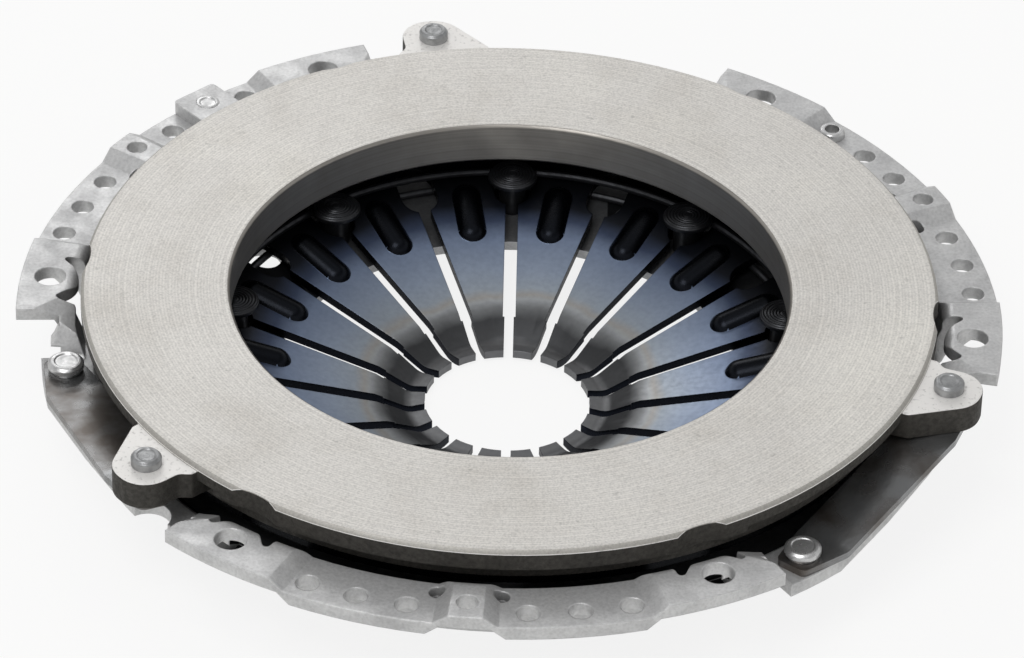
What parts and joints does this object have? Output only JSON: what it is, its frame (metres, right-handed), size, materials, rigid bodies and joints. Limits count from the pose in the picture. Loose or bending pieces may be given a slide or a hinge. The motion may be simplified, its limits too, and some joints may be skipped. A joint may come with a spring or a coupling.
{
  "type": "clutch pressure plate",
  "caption": "Diaphragm-spring clutch cover assembly: a flat friction ring in a drilled sheet-steel cover, carried by leaf straps, with spring fingers round a central opening.",
  "frame": {"origin": "centre of the bolt circle on the flange's mounting face", "axes": "+Z along the shaft axis, out of the friction face towards the flywheel; +X through one of the six bolt holes"},
  "size_m": [0.2788, 0.2734, 0.0455],
  "materials": {
    "pressed_steel": "satin pressed sheet",
    "machined_cast_iron": "turned face",
    "tempered_spring_steel": "blue temper colour",
    "strap_steel": "rolled spring strip",
    "rivet_steel": "turned",
    "ring_wire": "drawn wire"
  },
  "bodies": {
    "cover_assembly": {"cover": "pressed_steel", "diaphragm_spring": "tempered_spring_steel", "fulcrum_ring_front": "ring_wire", "fulcrum_ring_rear": "ring_wire", "fulcrum_rivet_1": "rivet_steel", "fulcrum_rivet_2": "rivet_steel", "fulcrum_rivet_3": "rivet_steel", "fulcrum_rivet_4": "rivet_steel", "fulcrum_rivet_5": "rivet_steel", "fulcrum_rivet_6": "rivet_steel", "fulcrum_rivet_7": "rivet_steel", "fulcrum_rivet_8": "rivet_steel", "fulcrum_rivet_9": "rivet_steel", "strap_1_leaf_bottom": "strap_steel", "strap_1_leaf_middle": "strap_steel", "strap_1_leaf_top": "strap_steel", "strap_2_leaf_bottom": "strap_steel", "strap_2_leaf_middle": "strap_steel", "strap_2_leaf_top": "strap_steel", "strap_3_leaf_bottom": "strap_steel", "strap_3_leaf_middle": "strap_steel", "strap_3_leaf_top": "strap_steel", "cover_rivet_1": "rivet_steel", "cover_rivet_2": "rivet_steel", "cover_rivet_3": "rivet_steel", "balance_weight": "pressed_steel", "balance_rivet": "rivet_steel", "hollow_balance_rivet": "rivet_steel"},
    "pressure_plate_assembly": {"pressure_plate": "machined_cast_iron", "plate_rivet_1": "rivet_steel", "plate_rivet_2": "rivet_steel", "plate_rivet_3": "rivet_steel"}
  },
  "joints": [
    {"name": "plate_travel", "type": "slide", "parent": "cover_assembly", "child": "pressure_plate_assembly", "axis": [0, 0, 1], "range_m": [-0.0045, 0], "stiffness_N_per_m": 20000, "springref_m": 0.003, "deforming": ["diaphragm_spring", "strap_1_leaf_bottom", "strap_1_leaf_middle", "strap_1_leaf_top", "strap_2_leaf_bottom", "strap_2_leaf_middle", "strap_2_leaf_top", "strap_3_leaf_bottom", "strap_3_leaf_middle", "strap_3_leaf_top"]}
  ]
}
